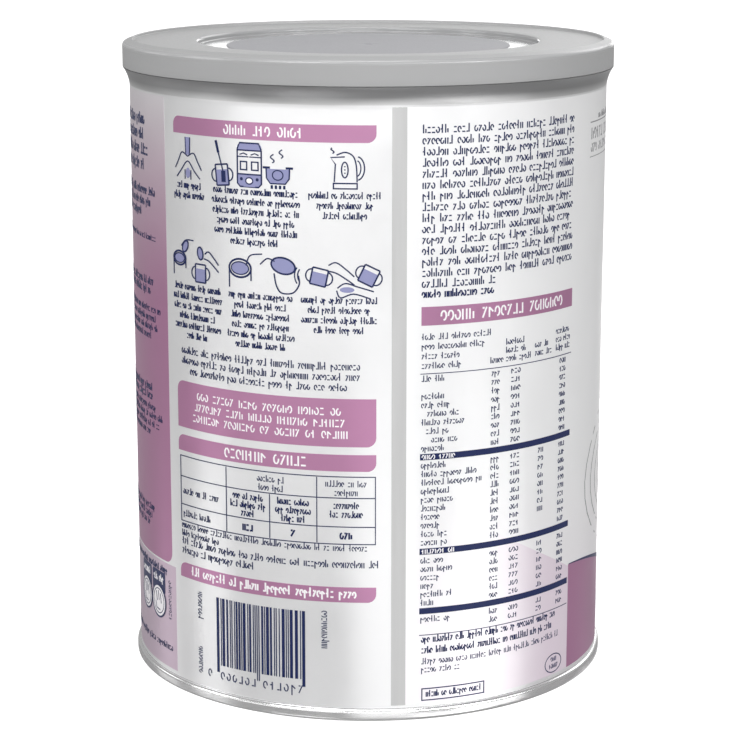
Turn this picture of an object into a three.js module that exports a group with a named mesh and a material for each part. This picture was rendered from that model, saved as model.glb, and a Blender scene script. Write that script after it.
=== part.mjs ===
// A shut tin of toddler milk powder: a welded steel cylinder with a seamed base and a grey plastic overcap.
// Millimetres, +Z up. The origin is the centre of the base, on the surface that the tin stands on,
// and the cylinder's weld runs up its -Y side.
import * as THREE from "three";

const SEGMENTS = 72; // facets round the axis, the same on every piece
const GAP = 0.3; // clearance left between pieces that touch

// The cylinder of an 800 g tin, 127 mm across, which flares out below the overcap.
const BODY_RADIUS = 63.5;
const FLARE_START = 155.8;
const FLARE_TOP = 161.6; // shoulder just under the overcap's skirt
const FLARE_ARC = 10.3; // radius of the flare's hollow curve
const NECK_RADIUS = 64.2; // what the skirt grips
const NECK_BEVEL = 0.8;

// The base end: a double seam round a sunk panel with two stiffening beads.
const BASE_RADIUS = 64.5;
const BASE_SEAM_HEIGHT = 3.1;
const BASE_EDGE = 0.8; // rounding of the seam's outer edges
const FOOT_INNER_RADIUS = 62.4;
const CHUCK_WALL_RADIUS = 61.5; // the wall between the foot and the sunk panel
const CHUCK_WALL_DRAFT = 0.3;
const CHUCK_WALL_EDGE = 0.5;
const END_THICKNESS = 0.8;
const PANEL_UNDERSIDE = 3.6;
const BEAD_DEPTH = 0.5;
const BEAD_HALF_WIDTH = 1.6;
const BEAD_RADII = [34, 50];

// The overcap.
const LID_RADIUS = 65.3;
const LID_BOTTOM = 162.0;
const LID_TOP = 168.8; // crest of the outer rim
const LID_EDGE = 1.5; // rounding from the crest down to the skirt
const SKIRT_WALL = 0.8;
const LIP_EDGE = 0.4; // rounding of the skirt's lower edge
const RIM_WIDTH = 2.9; // from the skirt's face to the top of the rim's inner slope
const RIM_SLOPE = 0.9;
const SHELF = 168.0; // the broad ring between the rim and the recess
const RECESS_RADIUS = 45.3;
const RECESS_EDGE = 0.8;
const RECESS_FLOOR = 166.5;
const PAD_RADIUS = 37.8; // the raised pad in the middle of the recess
const PAD_TOP = 166.7;
const GATE_RADIUS = 1.2; // moulding mark at the centre of the pad
const GATE_DEPTH = 0.25;
const LID_THICKNESS = 1.2;

const point = (radius, height) => new THREE.Vector2(radius, height);

// Points of an arc round (radius, height), from one angle to another in degrees, both ends included.
function arc(radius, height, size, fromDegrees, toDegrees, steps = 3) {
  return Array.from({ length: steps + 1 }, (_, i) => {
    const angle = THREE.MathUtils.degToRad(fromDegrees + ((toDegrees - fromDegrees) * i) / steps);
    return point(radius + size * Math.cos(angle), height + size * Math.sin(angle));
  });
}

// A solid of revolution about Z. Its profile starts and ends on the axis and runs anticlockwise.
function turned(name, profile, material) {
  const geometry = new THREE.LatheGeometry(profile, SEGMENTS);
  geometry.rotateX(Math.PI / 2);
  const mesh = new THREE.Mesh(geometry, material);
  mesh.name = name;
  return mesh;
}

// The filled cylinder, with its foot in the base seam and its top under the overcap.
function tinBody() {
  const foot = BASE_SEAM_HEIGHT + GAP;
  const footInner = CHUCK_WALL_RADIUS + END_THICKNESS + GAP;
  const panelTop = PANEL_UNDERSIDE + END_THICKNESS + GAP;
  const top = RECESS_FLOOR - LID_THICKNESS - GAP;
  const flareDegrees = THREE.MathUtils.radToDeg(Math.asin((FLARE_TOP - FLARE_START) / FLARE_ARC));
  const profile = [
    point(0, panelTop),
    point(footInner, panelTop),
    point(footInner, foot),
    point(BODY_RADIUS, foot),
    ...arc(BODY_RADIUS + FLARE_ARC, FLARE_START, FLARE_ARC, 180, 180 - flareDegrees, 5),
    point(NECK_RADIUS, FLARE_TOP),
    point(NECK_RADIUS, top - NECK_BEVEL),
    point(NECK_RADIUS - NECK_BEVEL, top),
    point(0, top),
  ];
  const material = new THREE.MeshStandardMaterial({ color: 0xf0eef1, roughness: 0.35, metalness: 0.2 });
  return turned("tin_body", profile, material);
}

// A ring pressed down from the base panel, with sloping sides.
function bead(radius) {
  return [
    point(radius - BEAD_HALF_WIDTH, PANEL_UNDERSIDE),
    point(radius - BEAD_HALF_WIDTH / 2, PANEL_UNDERSIDE - BEAD_DEPTH),
    point(radius + BEAD_HALF_WIDTH / 2, PANEL_UNDERSIDE - BEAD_DEPTH),
    point(radius + BEAD_HALF_WIDTH, PANEL_UNDERSIDE),
  ];
}

function baseEnd() {
  const edgeCentre = BASE_RADIUS - BASE_EDGE;
  const chuckOuter = CHUCK_WALL_RADIUS + END_THICKNESS;
  const panelTop = PANEL_UNDERSIDE + END_THICKNESS;
  const profile = [
    point(0, PANEL_UNDERSIDE),
    ...BEAD_RADII.flatMap(bead),
    point(CHUCK_WALL_RADIUS - CHUCK_WALL_EDGE, PANEL_UNDERSIDE),
    point(CHUCK_WALL_RADIUS, PANEL_UNDERSIDE - CHUCK_WALL_EDGE),
    point(CHUCK_WALL_RADIUS + CHUCK_WALL_DRAFT, CHUCK_WALL_EDGE),
    point(FOOT_INNER_RADIUS, 0),
    ...arc(edgeCentre, BASE_EDGE, BASE_EDGE, -90, 0),
    ...arc(edgeCentre, BASE_SEAM_HEIGHT - BASE_EDGE, BASE_EDGE, 0, 90),
    point(chuckOuter, BASE_SEAM_HEIGHT),
    point(chuckOuter, panelTop),
    point(0, panelTop),
  ];
  const material = new THREE.MeshStandardMaterial({ color: 0xc9c9c9, roughness: 0.25, metalness: 1 });
  return turned("base_end", profile, material);
}

function overcap() {
  const skirtInner = LID_RADIUS - SKIRT_WALL;
  const innerCorner = LID_EDGE / 2;
  const rimFoot = LID_RADIUS - RIM_WIDTH - RIM_SLOPE;
  const shelfUnderside = SHELF - LID_THICKNESS;
  const floorUnderside = RECESS_FLOOR - LID_THICKNESS;
  const profile = [
    point(0, floorUnderside),
    point(RECESS_RADIUS, floorUnderside),
    point(RECESS_RADIUS + LID_THICKNESS, shelfUnderside),
    point(skirtInner - innerCorner, shelfUnderside),
    point(skirtInner, shelfUnderside - innerCorner),
    point(skirtInner, LID_BOTTOM),
    ...arc(LID_RADIUS - LIP_EDGE, LID_BOTTOM + LIP_EDGE, LIP_EDGE, -90, 0, 2),
    ...arc(LID_RADIUS - LID_EDGE, LID_TOP - LID_EDGE, LID_EDGE, 0, 90, 4),
    point(LID_RADIUS - RIM_WIDTH, LID_TOP),
    point(rimFoot + RIM_SLOPE / 2, (LID_TOP + SHELF) / 2),
    point(rimFoot, SHELF),
    ...arc(RECESS_RADIUS + RECESS_EDGE, SHELF - RECESS_EDGE, RECESS_EDGE, 90, 180),
    point(RECESS_RADIUS, RECESS_FLOOR),
    point(PAD_RADIUS, RECESS_FLOOR),
    point(PAD_RADIUS - (PAD_TOP - RECESS_FLOOR), PAD_TOP),
    point(GATE_RADIUS, PAD_TOP),
    point(GATE_RADIUS / 2, PAD_TOP - GATE_DEPTH),
    point(0, PAD_TOP - GATE_DEPTH),
  ];
  const material = new THREE.MeshStandardMaterial({ color: 0xb4b5b6, roughness: 0.45, metalness: 0.1 });
  return turned("lid", profile, material);
}

const tin = new THREE.Group();
tin.add(tinBody(), baseEnd(), overcap());

export default tin;
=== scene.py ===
"""The looks of a shut tin of toddler milk powder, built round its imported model.

The print is laid out on the unrolled cylinder. u runs round the tin in millimetres, 0 on the -Y side
and growing towards +X, and z is the height. Text shows as rows of small marks that spell nothing.
"""

import itertools
import math
import random

import bpy
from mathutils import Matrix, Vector


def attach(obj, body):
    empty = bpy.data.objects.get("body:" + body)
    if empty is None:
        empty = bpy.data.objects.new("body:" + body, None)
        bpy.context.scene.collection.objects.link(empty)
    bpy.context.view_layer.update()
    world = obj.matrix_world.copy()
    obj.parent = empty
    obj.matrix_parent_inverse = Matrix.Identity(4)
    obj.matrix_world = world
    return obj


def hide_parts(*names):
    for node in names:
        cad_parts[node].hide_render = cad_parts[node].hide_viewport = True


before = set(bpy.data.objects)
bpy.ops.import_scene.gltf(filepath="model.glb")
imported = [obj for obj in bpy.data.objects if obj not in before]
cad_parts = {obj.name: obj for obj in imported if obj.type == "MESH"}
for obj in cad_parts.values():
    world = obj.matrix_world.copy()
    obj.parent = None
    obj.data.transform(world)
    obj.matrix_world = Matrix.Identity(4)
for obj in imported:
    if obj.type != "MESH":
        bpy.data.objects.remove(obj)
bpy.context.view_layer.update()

MM = 0.001
ROUND = 288  # segments round the axis
SHARP = math.radians(35)  # edges steeper than this stay sharp

# The tin, in millimetres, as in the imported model.
BODY_RADIUS = 63.5
AROUND = 2 * math.pi * BODY_RADIUS
FLARE_START, FLARE_TOP, FLARE_ARC = 155.8, 161.6, 10.3
NECK_RADIUS, NECK_BEVEL = 64.2, 0.8
BODY_TOP = 165.0
BASE_RADIUS, BASE_SEAM_HEIGHT = 64.5, 3.1
FOOT_INNER_RADIUS, CHUCK_WALL_RADIUS = 62.4, 61.5
PANEL_UNDERSIDE, END_THICKNESS = 3.6, 0.8
BEAD_RADII, BEAD_DEPTH, BEAD_HALF_WIDTH = (34, 50), 0.5, 1.6
GAP = 0.3
SNUG = 0.06  # the gap that shows where two pieces touch
LID_RADIUS, LID_TOP = 65.3, 168.8
SHELF, RECESS_RADIUS, RECESS_FLOOR = 168.0, 45.3, 166.5
PAD_RADIUS, PAD_TOP, LID_THICKNESS = 37.8, 166.7, 1.2

# The print.
PRINT_LOW, PRINT_HIGH = 4.3, 157.2
INK = 0.03  # thickness of one layer of print
SUNK = 0.02  # how far a layer reaches into what is below it
STEP = 1.0  # longest facet of a printed field, along u
WELD_LEFT, WELD_RIGHT = 5.8, 9.5
TABLE_RIGHT = 62.3
STORY_RIGHT = -60.2
FRONT_RIGHT = 200.0
seeds = itertools.count(1)  # one for each line of marks


def on_tin(u, z, radius):
    """The point above the unrolled label's (u, z), at a radius, in metres."""
    angle = u / BODY_RADIUS
    return (radius * math.sin(angle) * MM, -radius * math.cos(angle) * MM, z * MM)


def arc(centre, size, start, end, steps):
    """Points of a circle's arc in the profile plane, from one angle to another in degrees."""
    turns = [math.radians(start + (end - start) * i / steps) for i in range(steps + 1)]
    return [(centre[0] + size * math.cos(t), centre[1] + size * math.sin(t)) for t in turns]


def new_piece(name, vertices, faces, materials, slots=None, replaces=None, record_slot=None):
    """A smooth mesh piece that rides on the tin."""
    mesh = bpy.data.meshes.new(name)
    mesh.from_pydata(vertices, [], faces)
    for material in materials:
        mesh.materials.append(material)
    mesh.polygons.foreach_set("use_smooth", [True] * len(mesh.polygons))
    if slots:
        mesh.polygons.foreach_set("material_index", slots)
    mesh.set_sharp_from_angle(angle=SHARP)
    piece = bpy.data.objects.new(name, mesh)
    bpy.context.scene.collection.objects.link(piece)
    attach(piece, "root")
    if replaces:
        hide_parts(replaces)


def turned(name, stretches, materials, **options):
    """A closed body of revolution from stretches of (material index, profile points) that follow each
    other from the axis round the outside and back to the axis."""
    profile = [(r, z, index) for index, points in stretches for r, z in points]
    vertices = [(0, 0, profile[0][1] * MM)]
    rings = profile[1:-1]
    for r, z, _ in rings:
        for i in range(ROUND):
            angle = 2 * math.pi * i / ROUND
            vertices.append((r * math.cos(angle) * MM, r * math.sin(angle) * MM, z * MM))
    vertices.append((0, 0, profile[-1][1] * MM))
    last = len(vertices) - 1
    faces, slots = [], []
    for i in range(ROUND):
        j = (i + 1) % ROUND
        faces.append((0, 1 + j, 1 + i))
        slots.append(rings[0][2])
        for k in range(len(rings) - 1):
            low, high = 1 + k * ROUND, 1 + (k + 1) * ROUND
            faces.append((low + i, low + j, high + j, high + i))
            slots.append(rings[k + 1][2])
        top = 1 + (len(rings) - 1) * ROUND
        faces.append((top + i, top + j, last))
        slots.append(profile[-1][2])
    new_piece(name, vertices, faces, materials, slots, **options)


def bow(start, end):
    """Part of an oval as tall as a plain letter, between two angles in degrees."""
    across, tall, steps = 0.36, 0.44, 7
    turns = [math.radians(start + (end - start) * i / steps) for i in range(steps + 1)]
    return [(0.5 + across * math.cos(t), 0.5 + tall * math.sin(t)) for t in turns]


# Marks the size of letters that spell nothing. Each is a set of strokes, in shares of the letter's step
# and of its height.
TALL = 1.4
MARKS = (
    (bow(85, 370),),
    (bow(175, 460),),
    (bow(-5, 280),),
    (bow(265, 550),),
    (((0.22, 0), (0.22, 1)), ((0.78, 0), (0.78, 1))),
    (((0.14, 0.1), (0.86, 0.1)), ((0.2, 0.9), (0.8, 0.9))),
    (((0.5, 0), (0.5, TALL)), ((0.12, 0.62), (0.4, 0.62))),
    (((0.26, 0), (0.26, TALL)), ((0.78, 0.05), (0.78, 0.7))),
    (((0.2, 0), (0.8, 1)), ((0.16, 0.92), (0.48, 0.92))),
    (((0.24, -0.36), (0.24, 0.95)), ((0.24, 0.9), (0.84, 0.5))),
    (((0.76, 0), (0.76, TALL)), ((0.14, 0.1), (0.56, 0.1))),
)


def leaning(centre, x, y, lean):
    """A point x and y away from a centre, turned to the right by lean degrees."""
    a = math.radians(lean)
    return (centre[0] + x * math.cos(a) + y * math.sin(a), centre[1] + y * math.cos(a) - x * math.sin(a))


class Ink:
    """Marks of one colour, gathered into one piece of thin closed shells on the cylinder."""

    def __init__(self, layer=1):
        self.vertices, self.faces = [], []
        self.inner = BODY_RADIUS - SUNK + (layer - 1) * INK
        self.outer = BODY_RADIUS + layer * INK

    def band(self, lower, upper, closed=False):
        """A shell between two rows of (u, z) points, the upper row above or left of the lower."""
        count, base = len(lower), len(self.vertices)
        for radius in (self.inner, self.outer):
            for row in (lower, upper):
                self.vertices += [on_tin(u, z, radius) for u, z in row]
        inner_low, inner_up, outer_low, outer_up = (base + count * i for i in range(4))
        for i in range(count if closed else count - 1):
            j = (i + 1) % count
            self.faces += [
                (outer_low + i, outer_low + j, outer_up + j, outer_up + i),
                (inner_low + j, inner_low + i, inner_up + i, inner_up + j),
                (inner_low + i, inner_low + j, outer_low + j, outer_low + i),
                (inner_up + j, inner_up + i, outer_up + i, outer_up + j),
            ]
        if not closed:
            end = count - 1
            self.faces += [
                (inner_low, outer_low, outer_up, inner_up),
                (outer_low + end, inner_low + end, inner_up + end, outer_up + end),
            ]

    def field(self, left, right, low, high, corners=(0, 0, 0, 0)):
        """A filled rectangle. corners rounds it off at low left, low right, high right and high left,
        and low and high are heights or functions of u."""
        nearest = 1e-4  # places closer than this are one
        share = 0.998  # a corner's full cut would let the two rows meet at the end
        low_at = low if callable(low) else lambda u: low
        high_at = high if callable(high) else lambda u: high
        steps = max(1, math.ceil((right - left) / STEP))
        places = {left + (right - left) * i / steps for i in range(steps + 1)}
        for size in corners:
            for angle in range(0, 91, 15):
                inset = size * (1 - math.cos(math.radians(angle)))
                places.update((left + inset, right - inset))
        lower, upper = [], []
        for u in sorted(places):
            if lower and u - lower[-1][0] < nearest:
                continue
            cut = [0, 0, 0, 0]
            for k, size in enumerate(corners):
                inset = (u - left) if k in (0, 3) else (right - u)
                if inset < size:
                    cut[k] = size - math.sqrt(max(0, size**2 - (size - inset) ** 2))
            lower.append((u, low_at(u) + max(cut[0], cut[1]) * share))
            upper.append((u, high_at(u) - max(cut[2], cut[3]) * share))
        self.band(lower, upper)

    def block(self, left, right, low, high):
        self.band([(left, low), (right, low)], [(left, high), (right, high)])

    def line(self, points, width, closed=False):
        """A stroke of even width along the points."""
        count, lower, upper = len(points), [], []
        for i, (u, z) in enumerate(points):
            before = points[i - 1] if closed or i else points[0]
            after = points[(i + 1) % count] if closed or i < count - 1 else points[-1]
            du, dz = after[0] - before[0], after[1] - before[1]
            size = math.hypot(du, dz) or 1
            off = (-dz / size * width / 2, du / size * width / 2)
            lower.append((u - off[0], z - off[1]))
            upper.append((u + off[0], z + off[1]))
        self.band(lower, upper, closed)

    def curve(self, points, width):
        """A stroke of even width along a smooth curve through the points."""
        run = [points[0], *points, points[-1]]
        steps, smooth = 5, []
        for a, b, c, d in zip(run, run[1:], run[2:], run[3:]):
            for i in range(steps):
                t = i / steps
                shares = (
                    (2 * t**2 - t - t**3) / 2,
                    (2 - 5 * t**2 + 3 * t**3) / 2,
                    (t + 4 * t**2 - 3 * t**3) / 2,
                    (t**3 - t**2) / 2,
                )
                smooth.append(tuple(sum(s * p[k] for s, p in zip(shares, (a, b, c, d))) for k in (0, 1)))
        self.line(smooth + [points[-1]], width)

    def frame(self, left, right, low, high, width):
        """A rectangle's outline from four strokes that don't cross."""
        half = width / 2
        for z in (low, high):
            self.field(left - half, right + half, z - half, z + half)
        for u in (left, right):
            self.block(u - half, u + half, low + half, high - half)

    def ring(self, centre, across, tall, width, start=0, end=360, lean=0):
        """An ellipse's outline, or a part of it between two angles in degrees."""
        closed = end - start >= 360
        facet, fewest = 12, 8  # degrees of one facet, and the least number of them
        steps = max(fewest, round(abs(end - start) / facet))
        turns = [math.radians(start + (end - start) * i / steps) for i in range(steps + (not closed))]
        points = [leaning(centre, across * math.cos(t), tall * math.sin(t), lean) for t in turns]
        self.line(points, width, closed)

    def oval(self, centre, across, tall, lean=0):
        """A filled ellipse. Its two ends are cut off by a few degrees."""
        cut, steps = 6, 20
        turns = [math.radians(cut + (180 - 2 * cut) * i / steps) for i in range(steps + 1)]
        lower = [leaning(centre, -across * math.cos(t), -tall * math.sin(t), lean) for t in turns]
        upper = [leaning(centre, -across * math.cos(t), tall * math.sin(t), lean) for t in turns]
        self.band(lower, upper)

    def words(self, left, right, base, size, step, weight, capitals=False):
        """A line of made-up words between left and right. size is the height of a plain letter, step
        its advance and weight the width of its strokes, as shares of the height."""
        draw = random.Random(next(seeds))
        cells = max(1, round((right - left) / (step * size)))
        advance = (right - left) / cells
        spaces, at = set(), draw.choice(range(3, 8))
        while at < cells - 2:
            spaces.add(at)
            at += 1 + draw.choice(range(2, 10))
        for i in range(cells):
            if i in spaces:
                continue
            for stroke in draw.choice(MARKS):
                if capitals:
                    stroke = [(x, max(0, min(1, y))) for x, y in stroke]
                self.line([(left + (i + x) * advance, base + y * size) for x, y in stroke], weight * size)

    def column(self, left, top, widths, pitch, size, **style):
        """Lines of words that start at left, the first with its foot at top."""
        for i, width in enumerate(widths):
            self.words(left, left + width, top - i * pitch, size, **style)

    def caption(self, centre, top, widths, pitch, size, **style):
        """Lines of words centred on centre."""
        for i, width in enumerate(widths):
            self.words(centre - width / 2, centre + width / 2, top - i * pitch, size, **style)

    def code(self, centre, low, high, size, step):
        """A short run of small marks that stands on its end."""
        weight = 0.15 * size
        draw = random.Random(next(seeds))
        for i in range(round((high - low) / step)):
            for stroke in draw.choice(MARKS):
                points = [(centre + (0.5 - min(y, 1)) * size, low + (i + x) * step) for x, y in stroke]
                self.line(points, weight)

    def piece(self, name, material, record_slot):
        """The marks so far, as one piece."""
        new_piece(name, self.vertices, self.faces, [material], record_slot=record_slot)


# Materials


class Shader:
    """A new material's node tree."""

    def __init__(self, name):
        self.material = bpy.data.materials.new(name)
        self.material.use_nodes = True
        self.tree = self.material.node_tree
        self.surface = self.tree.nodes["Principled BSDF"]
        self.where = self.add("ShaderNodeTexCoord").outputs["Object"]

    def add(self, kind, inputs=None, **settings):
        """A node whose inputs are linked where a socket is given and set where a value is."""
        node = self.tree.nodes.new(kind)
        for key, value in settings.items():
            setattr(node, key, value)
        for key, value in (inputs or {}).items():
            if isinstance(value, bpy.types.NodeSocket):
                self.tree.links.new(value, node.inputs[key])
            else:
                node.inputs[key].default_value = value
        return node

    def link(self, socket, key):
        self.tree.links.new(socket, self.surface.inputs[key])

    def noise(self, scale, detail=3.0, stretch=None):
        """Noise over the object, finer with scale, stretched along X, Y and Z."""
        where = self.where
        if stretch:
            where = self.add("ShaderNodeMapping", {"Vector": where, "Scale": stretch}).outputs[0]
        inputs = {"Vector": where, "Scale": scale, "Detail": detail}
        return self.add("ShaderNodeTexNoise", inputs).outputs["Fac"]

    def spread(self, factor, low, high, start=0.3, end=0.7):
        """A factor between start and end, mapped to low to high."""
        inputs = {"Value": factor, "From Min": start, "From Max": end, "To Min": low, "To Max": high}
        return self.add("ShaderNodeMapRange", inputs).outputs[0]

    def blend(self, factor, first, second):
        """A colour between two, each a colour or a socket."""
        node = self.add("ShaderNodeMix", {0: factor}, data_type="RGBA")
        for key, value in ((6, first), (7, second)):
            if isinstance(value, bpy.types.NodeSocket):
                self.tree.links.new(value, node.inputs[key])
            else:
                node.inputs[key].default_value = (*value, 1)
        return node.outputs[2]

    def along(self, axis, start, end, power):
        """A run from 0 to 1 between two places on an axis, in millimetres, slow at first where power
        is above 1."""
        split = self.add("ShaderNodeSeparateXYZ", {"Vector": self.where})
        run = self.spread(split.outputs[axis], 0, 1, start * MM, end * MM)
        return self.add("ShaderNodeMath", {0: run, 1: power}, operation="POWER").outputs[0]

    def bump(self, height, strength, distance):
        inputs = {"Height": height, "Strength": strength, "Distance": distance * MM}
        self.link(self.add("ShaderNodeBump", inputs).outputs[0], "Normal")

    def set(self, **values):
        for key, value in values.items():
            self.surface.inputs[key.replace("_", " ")].default_value = value


def dim(colour, share):
    return tuple(c * share for c in colour)


def printed(name, colour, metallic, gloss=0.5, second=None, axis="Z", start=0, end=1, power=1.0):
    """Lacquered print. Where second is given, the colour runs to it along an axis."""
    roughness, darkest = 0.3, 0.985
    shader = Shader(name)
    mottle = shader.noise(90.0)
    uneven = shader.spread(mottle, 0, 1)
    tone = shader.blend(uneven, dim(colour, darkest), colour)
    if second:
        other = shader.blend(uneven, dim(second, darkest), second)
        tone = shader.blend(shader.along(axis, start, end, power), tone, other)
    shader.link(tone, "Base Color")
    shader.link(shader.spread(mottle, roughness - 0.02, roughness + 0.02), "Roughness")
    shader.bump(shader.noise(420.0, 2.0), 0.02, 0.03)
    shader.set(Metallic=metallic, Specular_IOR_Level=gloss)
    return shader.material


def bare_metal(name, colour, roughness, stretch, metallic=1.0, second=None, start=0, end=1):
    """Tinplate with fine streaks. stretch scales the streaks' noise along X, Y and Z."""
    darkest = 0.93
    shader = Shader(name)
    streaks = shader.noise(60.0, 4.0, stretch)
    uneven = shader.spread(streaks, 0, 1)
    tone = shader.blend(uneven, dim(colour, darkest), colour)
    if second:
        other = shader.blend(uneven, dim(second, darkest), second)
        tone = shader.blend(shader.along("Z", start, end, 1.0), tone, other)
    shader.link(tone, "Base Color")
    shader.link(shader.spread(streaks, roughness - 0.04, roughness + 0.06), "Roughness")
    shader.bump(streaks, 0.03, 0.1)
    shader.set(Metallic=metallic)
    return shader.material


def moulded(name, colour, roughness, grain):
    """Grey lid plastic with a fine moulded grain of a given strength."""
    shader = Shader(name)
    tone = shader.blend(shader.noise(25.0, 2.0), dim(colour, 0.96), dim(colour, 1.03))
    shader.link(tone, "Base Color")
    fine = shader.noise(1400.0)
    shader.link(shader.spread(fine, roughness - 0.04, roughness + 0.04), "Roughness")
    shader.bump(fine, grain, 0.1)
    return shader.material


PANEL_WHITE = (0.88, 0.88, 0.885)
FOOT_WHITE = (0.88, 0.835, 0.87)
DEEP_MAUVE = (0.49, 0.235, 0.39)
SILVER = printed("silver_print", (0.86, 0.86, 0.865), 0.8)
WHITE = printed("white_print", FOOT_WHITE, 0.5, second=PANEL_WHITE, start=5, end=60)
# The tint is print. Its fade towards the left, to the paler foot white from X 47 to 34 mm, is painted
# highlight.
TINT = printed("tinted_print_painted_highlight", FOOT_WHITE, 0.5, second=(0.79, 0.69, 0.77), axis="X", start=34, end=47)
MAUVE = printed("mauve_print", DEEP_MAUVE, 0.75)
MAUVE_FADE = printed(
    "mauve_fading_print", DEEP_MAUVE, 0.75, second=(0.84, 0.80, 0.83), start=100, end=156, power=1.6
)
LILAC = printed("lilac_print", (0.66, 0.53, 0.63), 0.75)
NAVY = printed("navy_print", (0.010, 0.017, 0.072), 0.0, 0.25)
LAVENDER = printed("lavender_print", (0.25, 0.258, 0.44), 0.3)
PALE = printed("pale_print", (0.90, 0.88, 0.90), 0.4)
GREY_LINE = printed("grey_line_print", (0.2, 0.2, 0.21), 0.1)
TINPLATE = bare_metal("bare_tinplate", (0.80, 0.80, 0.80), 0.18, (1, 1, 4))
# The bare flare and neck: tinplate at the print's edge that darkens upwards to 0.38 from 157.2 to 159 mm. The
# darkening is painted shade under the lid's skirt.
FLARE_WITH_PAINTED_SHADE = bare_metal(
    "bare_flare_painted_shade", (0.74, 0.74, 0.74), 0.34, (1, 1, 6), second=(0.38, 0.38, 0.385), start=157.2, end=159.0
)
WELD = bare_metal("weld_strip", (0.5, 0.5, 0.5), 0.34, (9, 9, 0.4), metallic=0.4)
LID_SATIN = moulded("lid_satin", (0.29, 0.291, 0.293), 0.42, 0.03)
# The recess's plastic is glossy. It is also a little darker than the satin, as painted shade in the recess.
LID_GLOSS = moulded("lid_gloss_painted_shade", (0.27, 0.272, 0.275), 0.12, 0.004)
LID_RIM = moulded("lid_rim", (0.30, 0.301, 0.303), 0.22, 0.004)
LID_PAD = moulded("lid_pad", (0.26, 0.26, 0.275), 0.55, 0.06)


# The tin's own pieces


def tin_body():
    foot = BASE_SEAM_HEIGHT + SNUG
    foot_inner = CHUCK_WALL_RADIUS + END_THICKNESS + GAP
    panel_top = PANEL_UNDERSIDE + END_THICKNESS + GAP
    lean = math.degrees(math.asin((FLARE_TOP - FLARE_START) / FLARE_ARC))
    curve = arc((BODY_RADIUS + FLARE_ARC, FLARE_START), FLARE_ARC, 180, 180 - lean, 24)
    wall_rings = range(10, 155, 12)
    bare = [point for point in curve if point[1] > PRINT_HIGH]
    printed_curve = [point for point in curve if point[1] <= PRINT_HIGH]
    stretches = [
        (1, [(0, panel_top), (foot_inner, panel_top), (foot_inner, foot), (BODY_RADIUS, foot)]),
        (0, [(BODY_RADIUS, PRINT_LOW)]),
        (0, [(BODY_RADIUS, z) for z in wall_rings] + printed_curve),
        # The bare flare and the neck. Their darker top is painted shade under the lid.
        (2, bare + [(NECK_RADIUS, FLARE_TOP), (NECK_RADIUS, BODY_TOP - NECK_BEVEL)]),
        (2, [(NECK_RADIUS - NECK_BEVEL, BODY_TOP), (0, BODY_TOP)]),
    ]
    turned(
        "tin_cylinder", stretches, [SILVER, TINPLATE, FLARE_WITH_PAINTED_SHADE], replaces="tin_body", record_slot="printed_steel"
    )


def bead(radius):
    """A ring pressed down from the base panel, with soft shoulders."""
    steps = [i / 8 for i in range(-8, 9)]
    return [
        (radius + BEAD_HALF_WIDTH * s, PANEL_UNDERSIDE - BEAD_DEPTH * (1 + math.cos(math.pi * s)) / 2)
        for s in steps
    ]


def base_end():
    edge, wall_edge, foot_edge = 0.9, 0.8, 0.7
    chuck_outer = CHUCK_WALL_RADIUS + END_THICKNESS
    panel_top = PANEL_UNDERSIDE + END_THICKNESS
    stretches = [
        (0, [(0, PANEL_UNDERSIDE)] + [point for radius in BEAD_RADII for point in bead(radius)]),
        (0, arc((CHUCK_WALL_RADIUS - wall_edge, PANEL_UNDERSIDE - wall_edge), wall_edge, 90, 0, 6)),
        (0, arc((FOOT_INNER_RADIUS + 0.1, foot_edge), foot_edge, 180, 270, 6)),
        (0, arc((BASE_RADIUS - edge, edge), edge, -90, 0, 10)),
        (0, arc((BASE_RADIUS - edge, BASE_SEAM_HEIGHT - edge), edge, 0, 90, 10)),
        (0, [(chuck_outer, BASE_SEAM_HEIGHT), (chuck_outer, panel_top), (0, panel_top)]),
    ]
    turned("base_seam", stretches, [TINPLATE], replaces="base_end", record_slot="tinplate")


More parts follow.
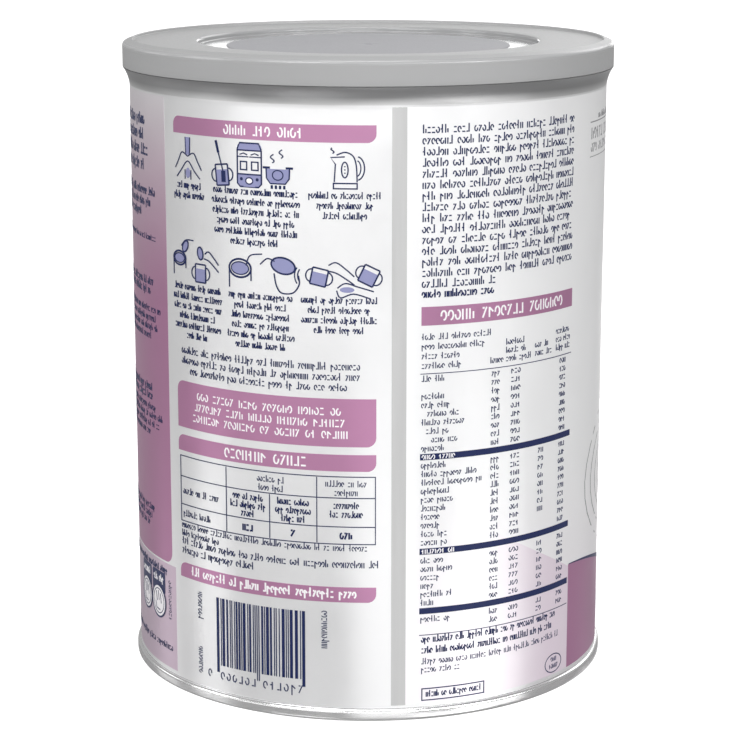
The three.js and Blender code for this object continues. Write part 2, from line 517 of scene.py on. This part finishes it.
def overcap():
    """The lid: a skirt, a rim that slopes up to its crest and drops to a shelf, and a recess with a
    raised pad."""
    wall, edge, soft, slope = 0.8, 1.1, 0.3, 65
    corner, foot_edge, recess_edge, fillet = 0.75, 0.25, 0.8, 0.3
    rim_start = LID_TOP - 1.75
    skirt_inner, skirt_foot = LID_RADIUS - wall, FLARE_TOP + SNUG
    crest = LID_RADIUS - 2.6
    rim_foot = crest - 2 * soft
    shelf_under, floor_under = SHELF - LID_THICKNESS, RECESS_FLOOR - LID_THICKNESS
    recess_round = (RECESS_RADIUS + recess_edge, SHELF - recess_edge)
    stretches = [
        (0, [(0, floor_under), (RECESS_RADIUS, floor_under), (RECESS_RADIUS + LID_THICKNESS, shelf_under)]),
        (0, arc((skirt_inner - corner, shelf_under - corner), corner, 90, 0, 5)),
        (0, [(skirt_inner, skirt_foot)]),
        (0, arc((LID_RADIUS - foot_edge, skirt_foot + foot_edge), foot_edge, -90, 0, 6)),
        (0, [(LID_RADIUS, z) for z in (163.5, 165.0, 166.4, rim_start)]),
        (3, arc((LID_RADIUS - edge, rim_start), edge, 4, slope, 10)),
        (0, arc((crest, LID_TOP - soft), soft, slope, 172, 10)),
        (0, arc((rim_foot, SHELF + soft), soft, -8, -90, 6)),
        (0, [(r, SHELF) for r in (58, 54, 50)]),
        (0, arc(recess_round, recess_edge, 90, 126, 4)),
        (1, arc(recess_round, recess_edge, 135, 180, 5)),
        (1, arc((RECESS_RADIUS - fillet, RECESS_FLOOR + fillet), fillet, 0, -90, 4)),
        (1, [(PAD_RADIUS, RECESS_FLOOR)]),
        (2, [(PAD_RADIUS - 0.05, PAD_TOP - 0.1), (PAD_RADIUS - 0.15, PAD_TOP)]),
        (2, [(r, PAD_TOP) for r in (30, 20, 10, 4, 1.3)]),
        (2, [(1.0, PAD_TOP - 0.15), (0.5, PAD_TOP - 0.25), (0, PAD_TOP - 0.25)]),
    ]
    materials = [LID_SATIN, LID_GLOSS, LID_PAD, LID_RIM]
    turned("overcap", stretches, materials, replaces="lid", record_slot="lid_plastic")


# The print, panel by panel

# Each colour's layer is counted from the wall.
weld, white, mauve_fade, lilac = Ink(), Ink(), Ink(), Ink()
tint, mauve, lavender, grey_line = Ink(2), Ink(2), Ink(2), Ink(2)
guide_text, table_text, story_text, front_text, pale = Ink(3), Ink(3), Ink(3), Ink(3), Ink(3)
bar_labels, badge_lines = Ink(4), Ink(5)

BOLD = {"step": 0.66, "weight": 0.27}
NARROW = {"step": 0.57, "weight": 0.24}
PLAIN = {"step": 0.74, "weight": 0.215}
LIGHT = {"step": 0.66, "weight": 0.2}
TITLE = {"step": 0.7, "weight": 0.17, "capitals": True}

# Widths of the small pictures' lines.
HAIR, FINE, LINE, FIRM, HEAVY = 0.3, 0.32, 0.34, 0.36, 0.4
BAR_CORNER = 2.2


def header(left, right, low, high, text, size, style=TITLE):
    """A mauve bar with two opposite corners rounded off, and pale marks on it."""
    mauve.field(left, right, low, high, (0, BAR_CORNER, 0, BAR_CORNER))
    pale.words(*text, (low + high - size) / 2, size, **style)


def drops_icon(u, z):
    """Water that runs into an open bowl."""
    lavender.field(u - 0.7, u + 0.7, z + 6.2, z + 10.6)
    lavender.oval((u, z + 1.6), 0.8, 1.3)
    for side in (-1, 1):
        guide_text.line([(u + side * 0.9, z + 10.6), (u + side * 0.7, z + 6.5)], HAIR)
        guide_text.line([(u + side * 1.1, z), (u + side * 1.1, z + 2.4)], HAIR)
        rim = [(u + side * 5, z + 2.6), (u + side * 3.6, z + 4.7), (u + side * 2.2, z + 6.7), (u, z + 5.8)]
        guide_text.curve(rim[::side], FINE)
    bowl = [(-4.4, 0.4), (-2.6, 2.2), (0, 4.6), (2.4, 2.2), (4.4, 0.4)]
    guide_text.curve([(u + x, z + y) for x, y in bowl], FINE)


def cup_icon(u, z, wide=3.6, tall=4.6, lean=0):
    """A cup with two handles, three quarters full, turned about its foot by lean degrees."""
    half, full = wide / 2, 0.75
    rows = [[leaning((u, z), x, y, lean) for x in (-half, half)] for y in (0.1, tall * full)]
    lavender.band(*rows)
    corners = [leaning((u, z), x, y, lean) for x, y in ((-half, tall), (-half, 0), (half, 0), (half, tall))]
    for start, end in zip(corners, corners[1:] + corners[:1]):
        guide_text.line([start, end], HEAVY)
    guide_text.ring(leaning((u, z), -half, tall / 2, lean), 1.4, 1.6, LINE, 95, 265, lean)
    guide_text.ring(leaning((u, z), half, tall / 2, lean), 1.4, 1.6, LINE, -85, 85, lean)


def brush_icon(u, z):
    cup_icon(u, z, 3.8, 5.2, -6)
    guide_text.line([(u + 0.2, z + 0.8), (u + 0.1, z + 3.6)], 1.3)
    guide_text.line([(u, z + 3.6), (u - 1.4, z + 8.0)], 0.35)
    guide_text.line([(u - 1.4, z + 8.0), (u - 2.2, z + 11.0)], 0.7)


def steriliser_icon(u, z):
    half = 3.4
    lavender.field(u - half, u + half, z, z + 3.0, (0.9, 0.9, 0, 0))
    lavender.field(u - half, u + half, z + 9.0, z + 10.6, (0, 0, 0.8, 0.8))
    guide_text.frame(u - half, u + half, z + 3.1, z + 9.0, FIRM)
    guide_text.line([(u - half, z + 7.4), (u + half, z + 7.4)], HAIR)
    foot = [(-half, 2.9), (-half, 0.8), (-half + 0.8, 0), (half - 0.8, 0), (half, 0.8), (half, 2.9)]
    guide_text.line([(u + x, z + y) for x, y in foot], HEAVY)
    cap = [(-half, 9.2), (-half + 0.7, 10.8), (half - 0.7, 10.8), (half, 9.2)]
    guide_text.line([(u + x, z + y) for x, y in cap], HEAVY)
    for side in (-1.6, 1.6):
        guide_text.frame(u + side - 0.9, u + side + 0.9, z + 4.2, z + 6.2, LINE)
        guide_text.oval((u + side * 1.4, z + 1.9), 0.42, 0.42)
        guide_text.line([(u + side - 1.1, z + 7.9), (u + side, z + 8.3), (u + side + 1.1, z + 7.9)], HAIR)
    pale.oval((u, z + 1.5), 0.8, 0.6)
    guide_text.ring((u, z + 1.5), 1.0, 0.8, HAIR)


def pot_icon(u, z):
    lavender.field(u - 2.9, u + 2.9, z + 1.4, z + 4.9, (1.3, 1.3, 0, 0))
    guide_text.line([(u - 4.0, z + 5.2), (u + 4.0, z + 5.2)], 0.55)
    sides = [(-3.1, 5.0), (-3.0, 2.6), (-2.0, 1.3), (2.0, 1.3), (3.0, 2.6), (3.1, 5.0)]
    guide_text.line([(u + x, z + y) for x, y in sides], FIRM)
    for i in range(4):
        guide_text.block(u - 1.9 + 1.1 * i, u - 1.3 + 1.1 * i, z, z + 0.9)
    guide_text.ring((u, z + 3.4), 1.4, 1.2, HAIR)
    for side, lift in ((-1.4, 0.4), (0.9, 1.6)):
        steam = [(u + side + 0.5 * math.sin(i * 1.4), z + 6.0 + lift + 0.42 * i) for i in range(6)]
        guide_text.curve(steam, FINE)


def kettle_icon(u, z):
    guide_text.frame(u - 3.2, u + 2.6, z, z + 1.3, LINE)
    spout = [(-3.0, 1.6), (-2.7, 6.0), (-3.9, 7.6), (-0.4, 7.8)]
    guide_text.line([(u + x, z + y) for x, y in spout], LINE)
    back = [(-2.4, 8.2), (-0.3, 8.9), (1.6, 8.0), (2.4, 5.6), (2.6, 1.6)]
    guide_text.curve([(u + x, z + y) for x, y in back], LINE)
    guide_text.ring((u + 2.5, z + 5.0), 1.9, 2.9, LINE, -80, 80)
    guide_text.ring((u + 2.5, z + 5.0), 1.0, 1.9, HAIR, -80, 80)
    guide_text.ring((u - 0.4, z + 4.6), 0.8, 1.9, LINE)
    for i in range(3):
        guide_text.block(u - 0.6, u - 0.2, z + 3.7 + 0.8 * i, z + 3.95 + 0.8 * i)
    steam = [(u - 3.4 + 0.4 * math.sin(i * 1.5), z + 8.6 + 0.34 * i) for i in range(5)]
    guide_text.curve(steam, FINE)


def open_tin_icon(u, z, wide, tall):
    """The open top of a round tin, seen from above, with the tops of its sides."""
    half, inner = wide / 2, wide * 0.4
    lavender.oval((u, z + tall), inner, inner * 0.62)
    guide_text.ring((u, z + tall), half, half * 0.72, 0.5)
    guide_text.ring((u, z + tall), inner, inner * 0.62, HAIR)
    guide_text.line([(u - half, z + tall - 0.5), (u - half, z - 0.6)], LINE)
    guide_text.line([(u + half, z + tall - 0.5), (u + half, z + 1.4)], LINE)


def arm_icon(u, z, reach, drop):
    """Two curved lines that run down to the right."""
    for points in (
        ((0, 0), (0.3, 0.22), (0.7, -0.3), (1, -0.8)),
        ((-0.06, -0.4), (0.3, -0.55), (0.7, -1.0), (1, -1.4)),
    ):
        guide_text.curve([(u + x * reach, z + y * drop) for x, y in points], LINE)


def scoop_icon(u, z, lean):
    lavender.oval((u, z), 0.9, 1.5, lean)
    guide_text.ring((u, z), 0.95, 1.6, HEAVY, 0, 360, lean)


def lid_icon(u, z):
    """A lid at a slant over a round tin."""
    lavender.oval((u, z + 6.6), 3.1, 1.9, 12)
    guide_text.ring((u, z + 6.6), 3.2, 2.0, 0.45, 0, 360, 12)
    bowl = [(-2.4, 4.6), (-1.8, 1.6), (-0.4, -0.2), (2.6, 0), (4.2, 2.2), (4.0, 4.4)]
    guide_text.curve([(u + x, z + y) for x, y in bowl], FIRM)


def dish_icon(u, z):
    """A shallow dish under a tilted cup."""
    lavender.oval((u + 2.4, z + 1.2), 1.8, 0.7)
    for points in (
        [(0, 1.6), (2.0, 2.8), (5.0, 2.0), (9.0, 0.8)],
        [(-0.2, 1.0), (0.8, -0.8), (4.0, 0.2), (8.2, -1.0)],
    ):
        guide_text.curve([(u + x, z + y) for x, y in points], LINE)


def guide_panel():
    """The left panel: pictures of the steps, their captions, a box, a table and a strip of bars."""
    left, right = -56, 2
    first_captions, second_captions = 134.3, 108.3
    caption_pitch, caption_size = 2.5, 1.25
    ink = guide_text
    header(left, right, 148.0, 152.3, (-38, -16), 2.5)
    drops_icon(-50.3, 136.6)
    brush_icon(-38.2, 136.2)
    steriliser_icon(-30.4, 136.3)
    pot_icon(-22.6, 136.2)
    kettle_icon(-5.3, 136.8)
    for centre, widths in (
        (-50.2, (9.0, 11.5)),
        (-29.4, (24, 25, 24.5, 22, 23.5, 13.5)),
        (-5.8, (18, 14, 11)),
    ):
        ink.caption(centre, first_captions, widths, caption_pitch, caption_size, **NARROW)
    open_tin_icon(-54.2, 112.4, 5.0, 3.8)
    scoop_icon(-51.8, 119.4, 30)
    ink.curve([(-53.4, 119.4), (-51.6, 121.0), (-48.6, 121.2)], LINE)
    cup_icon(-46.2, 110.8)
    scoop_icon(-46.2, 118.2, -10)
    arm_icon(-44.6, 118.2, 4.6, 3.0)
    open_tin_icon(-33.4, 111.4, 6.4, 4.4)
    ink.curve([(-31.6, 116.6), (-30.4, 119.2), (-27.0, 119.8)], LINE)
    lid_icon(-21.4, 110.6)
    ink.curve([(-27.6, 117.2), (-25.6, 118.8), (-23.6, 118.2)], LINE)
    cup_icon(-12.6, 112.8, 4.0, 4.2, 12)
    for i in (1, 2):
        ink.ring((-13.6, 115.0), 3.2 + 0.8 * i, 2.4 + 0.8 * i, FINE, 150, 210)
    arm_icon(-9.8, 117.8, 6.4, 3.4)
    cup_icon(-0.8, 113.4, 4.0, 4.4, 26)
    dish_icon(-7.6, 110.6)
    for centre, widths in (
        (-48.0, (17, 18, 17.5, 13, 17, 7.5)),
        (-28.0, (18, 14.5, 16.5, 16, 19, 14)),
        (-7.3, (19, 15.5, 19, 12.5)),
    ):
        ink.caption(centre, second_captions, widths, caption_pitch, caption_size, **NARROW)
    ink.caption(-28.0, 91.6, (52, 52, 45.5), 2.65, 1.4, **LIGHT)
    mauve.field(left, right, 72.0, 84.3, (0, 2.4, 0, 2.4))
    pale.caption(-27.5, 80.0, (41.5, 43.5, 45), 2.95, 1.95, **TITLE)
    header(left, right, 65.7, 70.0, (-39, -15.5), 2.6)
    serving_table()
    ink.column(-55.2, 45.0, (55, 14), 2.2, 1.2, **LIGHT)
    ink.column(-55.2, 40.6, (58, 25), 2.55, 1.4, **LIGHT)
    header(left, right, 31.5, 35.5, (-51.5, -3), 1.7, style=BOLD)
    bar_strip()


def serving_table():
    left, right = -55.3, 1.8
    low, row, split, high = 46.8, 51.3, 58.8, 64.3
    columns = (-38.5, -25.6, -13.0)
    first, second, third = -32.0, -19.3, -5.6  # the columns' middles
    rule = 0.24
    ink = guide_text
    ink.frame(left, right, low, high, rule)
    ink.field(left, right, row - rule / 2, row + rule / 2)
    ink.field(left, right, split - rule / 2, split + rule / 2)
    for column, top in zip(columns, (high, split, high)):
        ink.block(column - rule / 2, column + rule / 2, low + rule, top - rule)
    ink.words(-54.4, -41, 54.2, 1.3, **LIGHT)
    ink.words(-54.4, -44, 48.2, 1.25, **LIGHT)
    ink.caption(-25.4, 61.7, (7.5, 7), 2.3, 1.2, **LIGHT)
    ink.caption(third, 61.7, (10.5, 6), 2.3, 1.2, **LIGHT)
    ink.caption(first, 56.3, (9, 10.5, 4), 2.2, 1.3, **NARROW)
    ink.caption(second, 56.3, (8.5, 9.5, 6.5), 2.2, 1.3, **NARROW)
    ink.caption(third, 56.0, (6.5, 8.5), 2.3, 1.3, **NARROW)
    for centre, width in ((first, 3.2), (second, 1.6), (third, 3.2)):
        ink.words(centre - width / 2, centre + width / 2, 48.1, 1.7, **BOLD, capitals=True)


def bar_strip():
    """Upright bars of uneven width, by a seeded rule, with small marks below and beside them."""
    draw = random.Random(41)
    ink = guide_text
    left, right, low, high = -42.3, -16.2, 10.3, 28.6
    modules, filled, long_drop = 95, 0.97, 2.0
    unit = (right - left) / modules
    place = 0
    while place < modules:
        bar = min(draw.choice((1, 1, 2, 3)), modules - place)
        is_long = place < 3 or 44 < place < 50 or place > 90
        start = left + place * unit
        ink.block(start, start + bar * unit * filled, low - (long_drop if is_long else 0), high)
        place += bar + draw.choice((1, 1, 2, 2))
    foot, pitch, wide, tall = 6.5, 1.95, 1.5, 2.1
    for start, count in ((-45.6, 1), (-41.2, 6), (-28.0, 6)):
        for i in range(count):
            for stroke in draw.choice(MARKS):
                ink.line([(start + pitch * i + wide * x, foot + tall * min(y, 1)) for x, y in stroke], HAIR)
    size, step = 1.5, 0.92
    for centre, code_low, code_high in ((-48.3, 21.5, 28.8), (-48.3, 6.6, 14.4), (-11.2, 19.0, 28.8)):
        ink.code(centre, code_low, code_high, size, step)


def table_panel():
    """The right panel: a long paragraph of marks and a table of them."""
    left, right, inset = 13.2, 61.7, 0.2
    label, figure, pitch = 1.15, 1.25, 2.23  # heights of marks, and the table's row pitch
    unit_column, first_column = (32.2, 34.8), (38.2, 41.4)
    second_column, third_column = (47.8, 50.0), (56.2, 59.0)
    ink = table_text
    paragraph = (48, 48, 48, 48, 48, 48, 48, 47, 48, 46.5, 47.5, 48, 48, 47.8, 20)
    ink.column(left, 150.2, paragraph, 2.72, 1.52, **PLAIN)
    ink.words(left, left + 19.5, 109.6, 1.45, **BOLD)
    mauve.field(left, right, 102.6, 107.3)
    pale.words(18, 57, 103.6, 2.7, **TITLE)
    ink.column(left, 99.0, (19, 17, 10, 10.5), 2.43, label, **PLAIN)
    ink.words(31.8, 35.8, 91.7, label, **PLAIN)
    for start, top, widths in (
        (36.5, 96.0, (6, 6.5, 8.5)),
        (46.2, 94.0, (5, 6.5)),
        (54.4, 96.3, (6, 6.5, 6.5)),
    ):
        ink.column(start, top, widths, 2.15, label, **PLAIN)
    ink.field(left - inset, right, 90.3, 90.5)
    # Group by group: the first row's height, how many rows have a second figure, and the widths and the
    # indents of the rows' labels.
    groups = (
        (88.4, 0, (6, 0, 6, 7.5, 8.5, 11.5, 6, 7, 6), (0, 0, 0, 0, 1.5, 0, 1.2, 2.6, 0)),
        (66.2, 8, (6.5, 15, 16.5, 7.5, 8.5, 6.5, 5, 5, 7, 7), (0,) * 10),
        (41.4, 6, (6, 8.5, 5, 3.5, 8.5, 3.5), (0,) * 6),
        (25.9, 2, (8, 0), (0, 0)),
    )
    for top, seconds, widths, indents in groups:
        for i, (width, indent) in enumerate(zip(widths, indents)):
            z = top - i * pitch
            if width:
                ink.words(left + indent, left + indent + width, z, label, **PLAIN)
            ink.words(*unit_column, z, label, **PLAIN)
            ink.words(*first_column, z, figure, **PLAIN, capitals=True)
            if i < seconds:
                ink.words(*second_column, z, figure, **PLAIN, capitals=True)
            ink.words(*third_column, z, figure, **PLAIN, capitals=True)
    bar = 1.6
    for low, width in ((68.3, 9), (43.7, 9), (28.0, 0)):
        ink.field(left - inset, right, low, low + bar)
        if width:
            bar_labels.words(left + inset, left + width, low + inset, label, **PLAIN, capitals=True)
    ink.field(left - inset, right, 22.3, 22.5)
    ink.column(left + 0.3, 20.4, (42.5, 41), 2.9, 1.35, **NARROW)
    ink.column(left + 0.3, 14.6, (44, 10.5), 2.2, 1.2, **LIGHT)
    ink.frame(13.8, 31.0, 4.9, 8.0, HAIR)
    ink.words(14.8, 30.2, 5.8, 1.25, **NARROW)
    ink.ring((55.8, 7.4), 3.6, 2.5, 0.28)
    ink.caption(55.8, 7.9, (2.6, 4.0), 1.9, 1.2, **LIGHT, capitals=True)


def wave(u):
    """The upper edge of the mauve field round the front panel."""
    middle, swing, lead, length = 24.0, 9.0, 4.5, 27.0
    return middle + swing * math.cos((u - TABLE_RIGHT + lead) / length)


def front_panel():
    """The front, of a generic design: a blank plaque, rings, rows of marks and a mauve foot."""
    left, right = TABLE_RIGHT, FRONT_RIGHT
    disc, disc_radius = (131, 60), 15
    ink = front_text
    mauve.field(left, right, PRINT_LOW, wave)
    ink.field(left + 0.3, right, wave, lambda u: wave(u) + 0.2 + 1.1 * min(1, (u - left) / 30))
    grey_line.words(77.5, 91, 149.6, 1.2, **BOLD)
    grey_line.field(71, 91, 148.8, 149.1)
    grey_line.words(71.5, 91, 144.5, 3.0, **TITLE)
    grey_line.words(71.5, 91, 141.2, 2.3, **TITLE)
    grey_line.field(71, 91, 139.9, 140.1)
    lavender.field(100, 162, 118, 137, (6, 6, 6, 6))
    pale.field(101, 161, 119, 136, (5, 5, 5, 5))
    mauve.field(102, 160, 104, 113, (0, 4, 0, 4))
    pale.words(107, 155, 106.4, 4.0, **TITLE)
    ink.caption(131, 96.5, (52, 44, 30), 5.0, 2.2, **BOLD)
    for i in range(4):
        grey_line.ring((110, 52), 38 - 5 * i, 22 - 4 * i, 0.45, 80, 250)
    lavender.oval(disc, disc_radius, disc_radius)
    for i in range(3):
        size = disc_radius + 2.4 * i
        ink.ring(disc, size, size, 0.5)
    for i in range(5):
        ink.field(92 + 17 * i, 104 + 17 * i, 8.5, 16.5, (2, 2, 2, 2))


def badge(u, z):
    """A navy box over a pale disc with a few strokes."""
    half, corner, radius = 4.1, 0.8, 4.3
    story_text.field(u - half, u + half, z + 2.6, z + 8.5, (corner, corner, corner, corner))
    bar_labels.oval((u, z), radius, radius + 0.1)
    bar_labels.words(u - 3.2, u + 3.2, z + 5.6, 1.5, **NARROW)
    for size, width in ((radius, 0.5), (radius - 1, 0.25)):
        badge_lines.ring((u, z), size, size + 0.1, width)
    for x, y in ((-1.4, 2.4), (-0.1, 2.8), (1.2, 2.2)):
        badge_lines.line([(u + x, z + y), (u + x + 0.5, z + y - 2.6)], 0.35)
    badge_lines.line([(u - 1.9, z - 0.4), (u - 1.4, z - 2.2), (u + 0.9, z - 2.4)], 0.35)


def story_panel():
    """The mauve side panel, with paragraphs and, below it, two blank badges."""
    left, right = FRONT_RIGHT - AROUND, STORY_RIGHT
    lilac_top, mauve_low = 33.0, 33.5
    ink = story_text
    mauve_fade.field(left, right, mauve_low, PRINT_HIGH, (0, 3, 0, 0))
    lilac.field(left, right + 1.7, PRINT_LOW, lilac_top)
    start, far_start, narrower = -128.0, left + 8, 4
    # Each paragraph's height, pitch, size and style, and where its lines end.
    blocks = (
        (148.4, 3.95, 2.1, BOLD, (-72, -73, -70, -73)),
        (130.3, 2.9, 1.6, BOLD, (-66, -69, -76)),
        (118.6, 2.9, 1.1, PLAIN, (-66,)),
        (106.8, 2.5, 1.5, BOLD, (-68, -70)),
        (99.6, 2.4, 1.3, PLAIN, (-64, -67, -66, -70)),
        (78.4, 2.4, 1.5, BOLD, (-70, -70)),
        (73.2, 2.3, 1.3, PLAIN, (-68, -64, -66, -72)),
        (45.6, 2.3, 1.3, PLAIN, (-70, -72, -74)),
    )
    for top, pitch, size, style, ends in blocks:
        ink.column(start, top, [end - start for end in ends], pitch, size, **style)
        ink.column(far_start, top, [end - start - narrower for end in ends], pitch, size, **style)
    ink.words(start, -63, 30.0, 1.3, **BOLD)
    for centre in (-77.6, -68.4):
        badge(centre, 21.3)
    ink.words(start, -60.6, 9.2, 1.3, **PLAIN)
    ink.code(-61.7, 17.6, 28.6, 1.3, 1.0)


def print_all():
    weld.field(WELD_LEFT, WELD_RIGHT, PRINT_LOW - 0.4, PRINT_HIGH)
    white.field(WELD_RIGHT, FRONT_RIGHT, PRINT_LOW, PRINT_HIGH)
    tint_right_top, tint_slope = 32.5, 0.52
    tint.field(35, TABLE_RIGHT, PRINT_LOW, lambda u: tint_right_top + (TABLE_RIGHT - u) * tint_slope)
    guide_panel()
    table_panel()
    front_panel()
    story_panel()
    weld.piece("weld_strip", WELD, "tinplate")
    for ink, name, material in (
        (white, "white_panel", WHITE),
        (tint, "tinted_corner", TINT),
        (mauve, "mauve_fields", MAUVE),
        (mauve_fade, "mauve_side_panel", MAUVE_FADE),
        (lilac, "lilac_foot", LILAC),
        (lavender, "lavender_fills", LAVENDER),
        (guide_text, "guide_marks", NAVY),
        (table_text, "table_marks", NAVY),
        (story_text, "story_marks", NAVY),
        (front_text, "front_marks", NAVY),
        (pale, "pale_marks", PALE),
        (grey_line, "grey_rings", GREY_LINE),
        (bar_labels, "bar_labels", PALE),
        (badge_lines, "badge_lines", NAVY),
    ):
        ink.piece(name, material, "printed_steel")


# The stage

FLOOR_TONE, FLOOR_IOR, FLOOR_ROUGHNESS = 0.3, 1.9, 0.12
FLOOR_GLOW, FLOOR_SEEN = 0.01, 0.95  # its own light in reflections, and to the camera
AMBIENT = 0.46
AIM, LIGHT_DISTANCE = Vector((0, 0, 0.09)), 1.3  # metres
LIGHT_POWER = 4  # watts for a square metre of radiance 1


def floor():
    half = 12.0
    corners = [(-half, -half, 0), (half, -half, 0), (half, half, 0), (-half, half, 0)]
    mesh = bpy.data.meshes.new("floor")
    mesh.from_pydata(corners, [], [(0, 1, 2, 3)])
    shader = Shader("floor_acrylic")
    shader.link(shader.spread(shader.noise(3.0), FLOOR_TONE - 0.01, FLOOR_TONE + 0.01), "Base Color")
    seen = shader.add("ShaderNodeLightPath").outputs["Is Camera Ray"]
    shader.link(shader.spread(seen, FLOOR_GLOW, FLOOR_SEEN, 0, 1), "Emission Strength")
    shader.set(Roughness=FLOOR_ROUGHNESS, Emission_Color=(1, 1, 1, 1), IOR=FLOOR_IOR)
    mesh.materials.append(shader.material)
    acrylic = bpy.data.objects.new("floor", mesh)
    bpy.context.scene.collection.objects.link(acrylic)


def softbox(name, azimuth, elevation, size, radiance):
    """A rectangular light that faces the tin's middle from LIGHT_DISTANCE away. Azimuth 0 is on the -Y
    side, growing towards +X."""
    a, e = math.radians(azimuth), math.radians(elevation)
    light = bpy.data.lights.new(name, "AREA")
    light.shape = "RECTANGLE"
    light.size, light.size_y = size
    light.energy = LIGHT_POWER * radiance * size[0] * size[1]
    lamp = bpy.data.objects.new(name, light)
    away = Vector((math.sin(a) * math.cos(e), -math.cos(a) * math.cos(e), math.sin(e)))
    lamp.location = AIM + away * LIGHT_DISTANCE
    lamp.rotation_euler = (-away).to_track_quat("-Z", "Y").to_euler()
    lamp.visible_camera = False
    bpy.context.scene.collection.objects.link(lamp)


def studio():
    world = bpy.data.worlds.new("studio")
    bpy.context.scene.world = world
    world.use_nodes = True
    world.node_tree.nodes["Background"].inputs["Color"].default_value = (AMBIENT, AMBIENT, AMBIENT, 1)
    softbox("side_left", -80, 10, (0.46, 0.14), 3.9)
    softbox("side_high", -82, 26, (0.46, 0.3), 3.8)
    softbox("back_left", -114, 15.6, (0.42, 0.28), 1.5)
    softbox("low_left", -37, 2, (1.51, 0.14), 1.6)
    softbox("high_left", -34, 36, (0.6, 0.5), 6.0)
    softbox("middle", 7.3, 13, (0.63, 0.45), 2.5)
    softbox("right", 40, 22, (0.8, 0.3), 6.5)
    softbox("side_right", 60, 15, (0.8, 0.2), 5.2)
    softbox("top", 0, 80, (0.6, 0.6), 4.0)
    softbox("back", 150, 28, (1.0, 0.5), 1.5)
    softbox("back_low", 172, 7, (0.75, 0.27), 1.3)


def camera():
    """A camera at the photograph's viewing angle."""
    lens_pixels, long_side, sensor = 2348.5, 735, 36.0
    place, pitch = (-0.31, -630.3, 217.1), 12.41  # millimetres, and degrees down
    data = bpy.data.cameras.new("camera")
    data.sensor_width = sensor
    data.lens = lens_pixels / long_side * sensor
    data.clip_start, data.clip_end = 0.01, 100
    eye = bpy.data.objects.new("camera", data)
    eye.location = [distance * MM for distance in place]
    eye.rotation_euler = (math.radians(90 - pitch), 0, 0)
    bpy.context.scene.collection.objects.link(eye)
    bpy.context.scene.camera = eye


tin_body()
base_end()
overcap()
print_all()
floor()
studio()
camera()
bpy.context.scene.view_settings.view_transform = "Standard"
